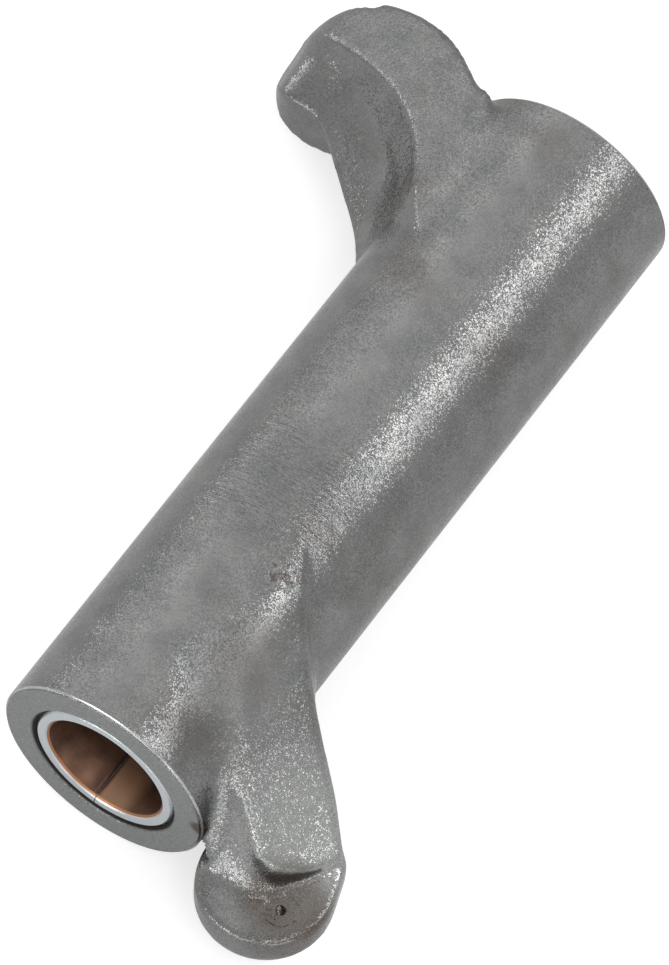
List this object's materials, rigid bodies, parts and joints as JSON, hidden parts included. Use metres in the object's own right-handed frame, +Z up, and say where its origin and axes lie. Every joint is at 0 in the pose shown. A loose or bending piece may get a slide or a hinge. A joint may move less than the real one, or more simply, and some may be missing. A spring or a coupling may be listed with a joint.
{
  "type": "rocker arm",
  "caption": "Overhead-valve rocker arm: forged tube with a pushrod arm and ball cup at one end, a curved valve arm with a pad at the other, and bronze-lined bushes in the bore.",
  "frame": {"origin": "middle of the bore's axis, half way between the tube's end faces", "axes": "+Y along the bore towards the valve arm's end, +X towards the pushrod arm, +Z up, on the side of the arms' flat tops"},
  "size_m": [0.0624, 0.1011, 0.025],
  "materials": {
    "forged_steel": "blasted",
    "bush_bronze": "machined"
  },
  "bodies": {
    "root": {"rocker_body": "forged_steel", "near_bush": "bush_bronze", "far_bush": "bush_bronze"}
  },
  "joints": []
}
